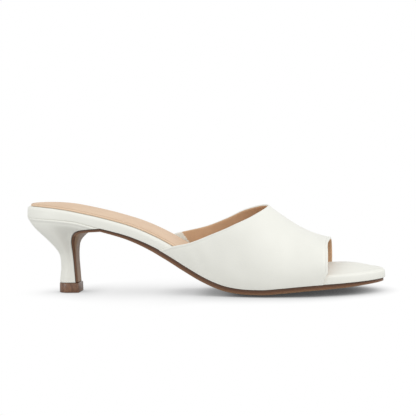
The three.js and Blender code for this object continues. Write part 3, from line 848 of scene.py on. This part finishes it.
def heel_seat(flat, around):
    """The block's hidden top: straight across between the two sides of its last row."""
    depth = flat.shape[1]
    last = around[-1]
    outer = last[:depth][::-1]
    inner = last[depth - 1:2 * depth - 1]
    across = shares(HEEL_ACROSS_STEPS)[None, :, None]
    grid = outer[:, None] * (1 - across) + inner[:, None] * across
    return grid.reshape(-1, 3), grid_faces(*grid.shape[:2])


def make_tip(material):
    """Top piece: the heel's section at its foot out to the front of the flap, a little flared."""
    front = BREAST_FOOT + FLAP_THICKNESS + TIP_OVERHANG
    back = heel_back(FLAP_FOOT)
    rings = []
    for z, grow in ((0, TIP_FLARE), (TIP_HEIGHT, TIP_FLARE / 2)):
        depth = mix(0, front - back + 2 * grow, started(TIP_STEPS))
        x = back - grow + depth
        z_foot = np.full_like(x, FLAP_FOOT)
        outer, inner = (heel_side(x, z_foot, side, front + grow, grow) for side in ("outer", "inner"))
        ring_x = np.concatenate([x, x[:0:-1]])
        ring_y = np.concatenate([-outer, inner[:0:-1]])
        rings.append(np.stack([ring_x, ring_y, 0 * ring_x + z], -1))
    points = np.array(rings)
    columns = points.shape[1]
    faces = [*grid_faces(2, columns, round_columns=True).tolist(), list(range(columns))[::-1],
             list(range(columns, 2 * columns))]
    piece = make_piece("top_piece", points, faces, [material])
    bevel = piece.modifiers.new("edges", "BEVEL")
    bevel.width = TIP_BEVEL * MM
    bevel.segments = 3
    bevel.limit_method = "ANGLE"
    bevel.angle_limit = TIP_CORNER
    return piece


def band_point(x, turn, depth):
    """Points of the band: turn runs from 0 at the sole outside, over the ridge at 1, to 2 at the sole
    inside; a superellipse across, bulged at the shoulders and skewed to the inner side."""
    angle = turn * np.pi / 2
    outer = outline_half(x, "outer") + FIT + WALL - depth
    inner = outline_half(x, "inner") + FIT + WALL - depth
    across = np.cos(angle)
    squarer = ease((x / SHOE_LENGTH - SQUARE_FROM) / (SQUARE_TO - SQUARE_FROM))
    power = 2 / mix(BAND_SQUARENESS, FRONT_SQUARENESS, squarer)
    rounded_across = np.sign(across) * np.abs(across) ** power
    low = seat_line(x)
    ridge = INSTEP_HEIGHT * smooth(RIDGE, "height", x / SHOE_LENGTH) - depth
    up = np.abs(np.sin(angle)) ** power
    y = ((inner - outer) / 2 - (inner + outer) / 2 * rounded_across
         - BAND_BULGE * np.sin(2 * angle) + INSTEP_SKEW * np.sin(angle) ** 2)
    return np.stack([x, y, low + (ridge - low) * up], -1)


def band_edges(turn):
    """Back and front edges of the band along the length, at each turn."""
    rise = np.minimum(turn, 2 - turn)
    edges = []
    for edge in ("back", "front"):
        outer = smooth(BAND, "outer_" + edge, rise, by="turn")
        inner = smooth(BAND, "inner_" + edge, rise, by="turn")
        edges.append(np.where(turn < 1, outer, inner) * SHOE_LENGTH)
    return edges


def near_line(x, height, start, end):
    """Distance of points from the line between two points, all as (x, height)."""
    run = np.subtract(end, start)
    share = ((x - start[0]) * run[0] + (height - start[1]) * run[1]) / (run @ run)
    share = np.clip(share, 0, 1)
    return np.hypot(x - start[0] - share * run[0], height - start[1] - share * run[1])


def band_relief(x, turn, to_back, to_front):
    """Depth of the outer face's relief in millimetres: it turns in above the sole, has a soft bead along
    each folded edge with a groove behind it, and a few shallow creases."""
    height = band_point(x, turn, 0)[..., 2] - seat_line(x)
    rise = mix(TUCK_RISE_BACK, TUCK_RISE, ease((x / SHOE_LENGTH - TUCK_FROM) / TUCK_OVER))
    depth = TUCK * np.clip(1 - height / rise, 0, 1) ** 2
    for distance, groove in ((to_front, FRONT_GROOVE), (to_back, BACK_GROOVE)):
        depth += hump(distance, groove, GROOVE_AT, GROOVE_WIDTH) - hump(distance, BEAD, 0, BEAD_WIDTH)
    sides = ease((1 - turn) / CREASE_FADE) + INNER_CREASES * ease((turn - 1) / CREASE_FADE)
    for start, end, width, deep in CREASES:
        depth += hump(near_line(x, height, start, end), deep, 0, width) * sides
    return depth


def edge_run(turn, x, radius):
    """How far along the length a distance square to a slanted edge reaches, at each turn."""
    edge = band_point(x, turn, 0)
    tangent = np.gradient(edge, turn, axis=0)
    tangent /= np.linalg.norm(tangent, axis=1, keepdims=True)
    step = band_point(x + 0.5, turn, 0) - band_point(x - 0.5, turn, 0)
    square = step - (step * tangent).sum(1, keepdims=True) * tangent
    return radius / np.maximum(np.linalg.norm(square, axis=1), LEAST_RUN)


def make_band(white, tan):
    """One wide band: a white cover folded round both edges and a tan lining inside, its tan darker than the
    sock's as painted shade, each turn of it one closed loop of outer face, round front edge, inner face and
    round back edge."""
    turn = 2 * rounded(BAND_TURNS)
    back, front = band_edges(turn)
    radius = WALL / 2
    back_run = edge_run(turn, back, radius)[:, None]
    front_run = edge_run(turn, front, radius)[:, None]
    back, front = back[:, None], front[:, None]
    length = rounded(BAND_STEPS)[None, :]
    arc = shares(ROLL_STEPS)[1:-1][None, :] * np.pi
    x = np.concatenate([
        mix(back + back_run, front - front_run, length),
        front - front_run + front_run * np.sin(arc),
        mix(front - front_run, back + back_run, length),
        back + back_run - back_run * np.sin(arc),
    ], 1)
    flat = 0 * length
    round_depth = radius * (1 - np.cos(arc))
    depth = np.concatenate([flat, round_depth, flat + WALL, WALL - round_depth], 1)
    fade = np.clip(1 - depth / WALL, 0, 1)
    to_back = np.maximum(x - back, 0) * radius / back_run
    to_front = np.maximum(front - x, 0) * radius / front_run
    relief = band_relief(x, turn[:, None] + 0 * x, to_back, to_front)
    loop = band_point(x, turn[:, None], depth + fade * relief)
    rows, columns = loop.shape[:2]
    outer_count = length.shape[1]
    arc_count = arc.shape[1]
    column = np.arange(columns)
    lining_start = outer_count + arc_count - LINING_OVER_FRONT
    lining_end = 2 * outer_count + arc_count + LINING_OVER_BACK
    inside = (column >= lining_start) & (column < lining_end)
    tail = TAIL_FOLD + TAIL_SLANT * (TAIL_TOP - loop[..., 2])
    lining = inside & (x > tail)
    faces = grid_faces(rows, columns, round_columns=True)
    slots = lining[:-1].astype(int).ravel()
    caps = [list(range(columns))[::-1], list(range((rows - 1) * columns, rows * columns))]
    slots = np.concatenate([slots, [0, 0]])
    return make_piece("band", loop, [*faces.tolist(), *caps], [white, tan], slots=slots)


def aim_camera():
    """Camera at the photo's angle: turned towards the toe, a little above, slightly rolled."""
    azimuth, elevation, roll = np.radians([CAMERA_AZIMUTH, CAMERA_ELEVATION, CAMERA_ROLL])
    target = Vector([place * MM for place in CAMERA_TARGET])
    flat = np.cos(elevation)
    back = Vector((np.sin(azimuth) * flat, -np.cos(azimuth) * flat, np.sin(elevation)))
    level = (-back).cross(Vector((0, 0, 1))).normalized()
    upright = level.cross(-back)
    right = level * np.cos(roll) + upright * np.sin(roll)
    up = upright * np.cos(roll) - level * np.sin(roll)
    data = bpy.data.cameras.new("camera")
    data.sensor_width = CAMERA_SENSOR
    data.lens = CAMERA_LENS
    camera = bpy.data.objects.new("camera", data)
    turned = Matrix((right, up, back)).transposed().to_4x4()
    camera.matrix_world = Matrix.Translation(target + back * (CAMERA_DISTANCE * MM)) @ turned
    bpy.context.collection.objects.link(camera)
    bpy.context.scene.camera = camera


def add_softbox(name, place, aim, size, power):
    """A square area light at a place, aimed at a point, all in metres."""
    data = bpy.data.lights.new(name, "AREA")
    data.size = size
    data.energy = power
    light = bpy.data.objects.new(name, data)
    light.location = place
    light.rotation_euler = (Vector(aim) - Vector(place)).to_track_quat("-Z", "Y").to_euler()
    bpy.context.collection.objects.link(light)


def seen_and_lit(tree, seen, lit):
    """Shader mix of what a camera ray meets and what every other ray meets."""
    path = tree.nodes.new("ShaderNodeLightPath")
    choice = tree.nodes.new("ShaderNodeMixShader")
    tree.links.new(path.outputs["Is Camera Ray"], choice.inputs[0])
    tree.links.new(lit, choice.inputs[1])
    tree.links.new(seen, choice.inputs[2])
    return choice.outputs[0]


def math_node(tree, operation, first, second):
    """Output of a node that works on two inputs, each a number or another node's output."""
    node = tree.nodes.new("ShaderNodeMath")
    node.operation = operation
    for socket, source in zip(node.inputs, (first, second)):
        if isinstance(source, bpy.types.NodeSocket):
            tree.links.new(source, socket)
        else:
            socket.default_value = source
    return node.outputs[0]


def along_floor(tree, stops, gain):
    """A number that changes along the shoe's length, from stops of (share of the way, number)."""
    place = tree.nodes.new("ShaderNodeTexCoord")
    parts = tree.nodes.new("ShaderNodeSeparateXYZ")
    tree.links.new(place.outputs["Object"], parts.inputs[0])
    share = tree.nodes.new("ShaderNodeMapRange")
    share.inputs["From Min"].default_value = SHADOW_START
    share.inputs["From Max"].default_value = SHADOW_END
    tree.links.new(parts.outputs["X"], share.inputs["Value"])
    ramp = tree.nodes.new("ShaderNodeValToRGB")
    tree.links.new(share.outputs["Result"], ramp.inputs["Fac"])
    ramp.color_ramp.interpolation = "EASE"
    set_stops(ramp.color_ramp, [(at, [value] * 3) for at, value in stops])
    return math_node(tree, "MULTIPLY", ramp.outputs["Color"], gain)


def make_floor():
    """A pale floor that runs on past the view. It glows white to the camera with a painted shadow, darkened
    by how much of the space above it the shoe closes off, by depths and reaches that change along the shoe,
    and throws little light back up."""
    mesh = bpy.data.meshes.new("floor")
    corners = [(FLOOR_HALF * x, FLOOR_HALF * y, 0) for x, y in ((-1, -1), (1, -1), (1, 1), (-1, 1))]
    mesh.from_pydata(corners, [], [(0, 1, 2, 3)])
    floor = bpy.data.objects.new("floor", mesh)
    bpy.context.collection.objects.link(floor)
    material = bpy.data.materials.new("studio_floor")
    material.use_nodes = True
    tree = material.node_tree
    tree.nodes.remove(tree.nodes["Principled BSDF"])
    open_share = tree.nodes.new("ShaderNodeAmbientOcclusion")
    open_share.samples = SHADOW_SAMPLES
    tree.links.new(along_floor(tree, SHADOW_REACHES, SHADOW_REACH), open_share.inputs["Distance"])
    closed = math_node(tree, "SUBTRACT", 1, open_share.outputs["AO"])
    softened = math_node(tree, "POWER", closed, SHADOW_SOFTNESS)
    deepened = math_node(tree, "MULTIPLY", softened, along_floor(tree, SHADOW_DEPTHS, SHADOW_GAIN))
    shown = tree.nodes.new("ShaderNodeEmission")
    tree.links.new(math_node(tree, "SUBTRACT", 1, deepened), shown.inputs["Strength"])
    thrown = tree.nodes.new("ShaderNodeBsdfDiffuse")
    thrown.inputs["Color"].default_value = (FLOOR_THROWN, FLOOR_THROWN, FLOOR_THROWN, 1)
    output = tree.nodes["Material Output"]
    surface = seen_and_lit(tree, shown.outputs[0], thrown.outputs[0])
    tree.links.new(surface, output.inputs["Surface"])
    mesh.materials.append(material)


def make_studio():
    """An even white room, soft on the shoe and plain white behind it, with colours shown as they are."""
    bpy.context.scene.view_settings.view_transform = "Standard"
    world = bpy.data.worlds.new("studio")
    world.use_nodes = True
    tree = world.node_tree
    lit = tree.nodes["Background"]
    lit.inputs["Color"].default_value = (1, 1, 1, 1)
    lit.inputs["Strength"].default_value = ROOM_LIGHT
    shown = tree.nodes.new("ShaderNodeBackground")
    shown.inputs["Color"].default_value = (1, 1, 1, 1)
    surface = seen_and_lit(tree, shown.outputs[0], lit.outputs[0])
    tree.links.new(surface, tree.nodes["World Output"].inputs["Surface"])
    bpy.context.scene.world = world


aim_camera()
make_studio()
make_floor()
add_softbox("key", KEY_PLACE, KEY_AIM, KEY_SIZE, KEY_POWER)
add_softbox("fill", FILL_PLACE, FILL_AIM, FILL_SIZE, FILL_POWER)

white = white_faux_leather()
sock_tan = tan_lining("sock_tan", (0.76, 0.555, 0.39), (0.82, 0.615, 0.44))
# The band's lining is the sock's tan made darker: painted shade for the inside of the band.
shaded_band_tan = tan_lining("shaded_band_tan", (0.62, 0.4, 0.24), (0.69, 0.46, 0.29))
brown = brown_sole()
tip_brown = brown_tip()

pieces = {
    "footbed": (make_footbed(white), "white_leather"),
    "sock": (make_sock(sock_tan), "tan_lining"),
    "outsole": (make_sole(brown), "brown_sole"),
    "heel": (make_heel(white), "white_leather"),
    "heel_tip": (make_tip(tip_brown), "brown_tip"),
    "upper": (make_band(white, shaded_band_tan), "white_leather"),
}
for node, (piece, slot) in pieces.items():
    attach(piece, "root")
    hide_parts(node)
